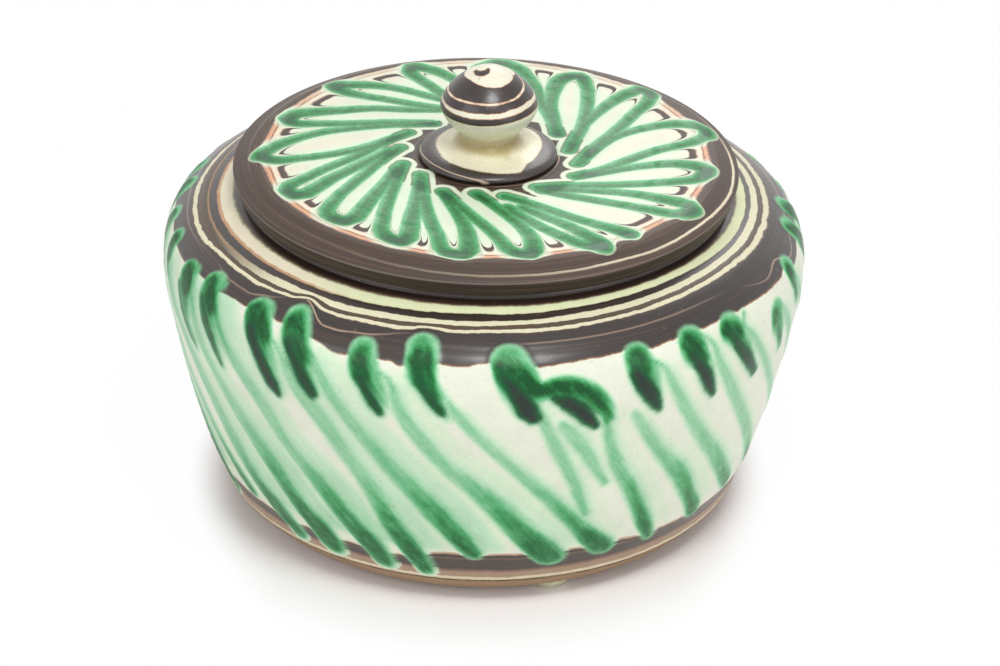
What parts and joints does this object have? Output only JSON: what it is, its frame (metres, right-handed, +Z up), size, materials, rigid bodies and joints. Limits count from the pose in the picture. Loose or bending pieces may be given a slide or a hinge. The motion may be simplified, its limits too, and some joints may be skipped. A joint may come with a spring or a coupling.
{
  "type": "covered pottery jar",
  "caption": "Squat round covered jar of glazed, slip-decorated stoneware, with a flat flanged lid that lifts off by its spool-necked ball knob.",
  "frame": {"origin": "on the jar's axis, on the surface that the pads stand on", "axes": "+Z up along the jar's axis, -Y towards the viewer of the picture, +X to the viewer's right"},
  "size_m": [0.18, 0.18, 0.1273],
  "materials": {
    "jar_glaze": "semi-gloss clear glaze over cream ground, dark slip bands and trailed green strokes",
    "lid_glaze": "semi-gloss glaze over dark brown slip with cream and green trailing",
    "knob_glaze": "semi-gloss dark brown slip with cream trailed rings",
    "clear_pad": "clear soft polyurethane pad, faintly yellow"
  },
  "bodies": {
    "jar": {"jar_body": "jar_glaze", "foot_pad_1": "clear_pad", "foot_pad_2": "clear_pad", "foot_pad_3": "clear_pad"},
    "lid": {"lid_plate": "lid_glaze", "lid_knob": "knob_glaze"}
  },
  "joints": [
    {"name": "lid_lift", "type": "slide", "parent": "jar", "child": "lid", "axis": [0, 0, 1], "range_m": [0, 0.1]}
  ]
}
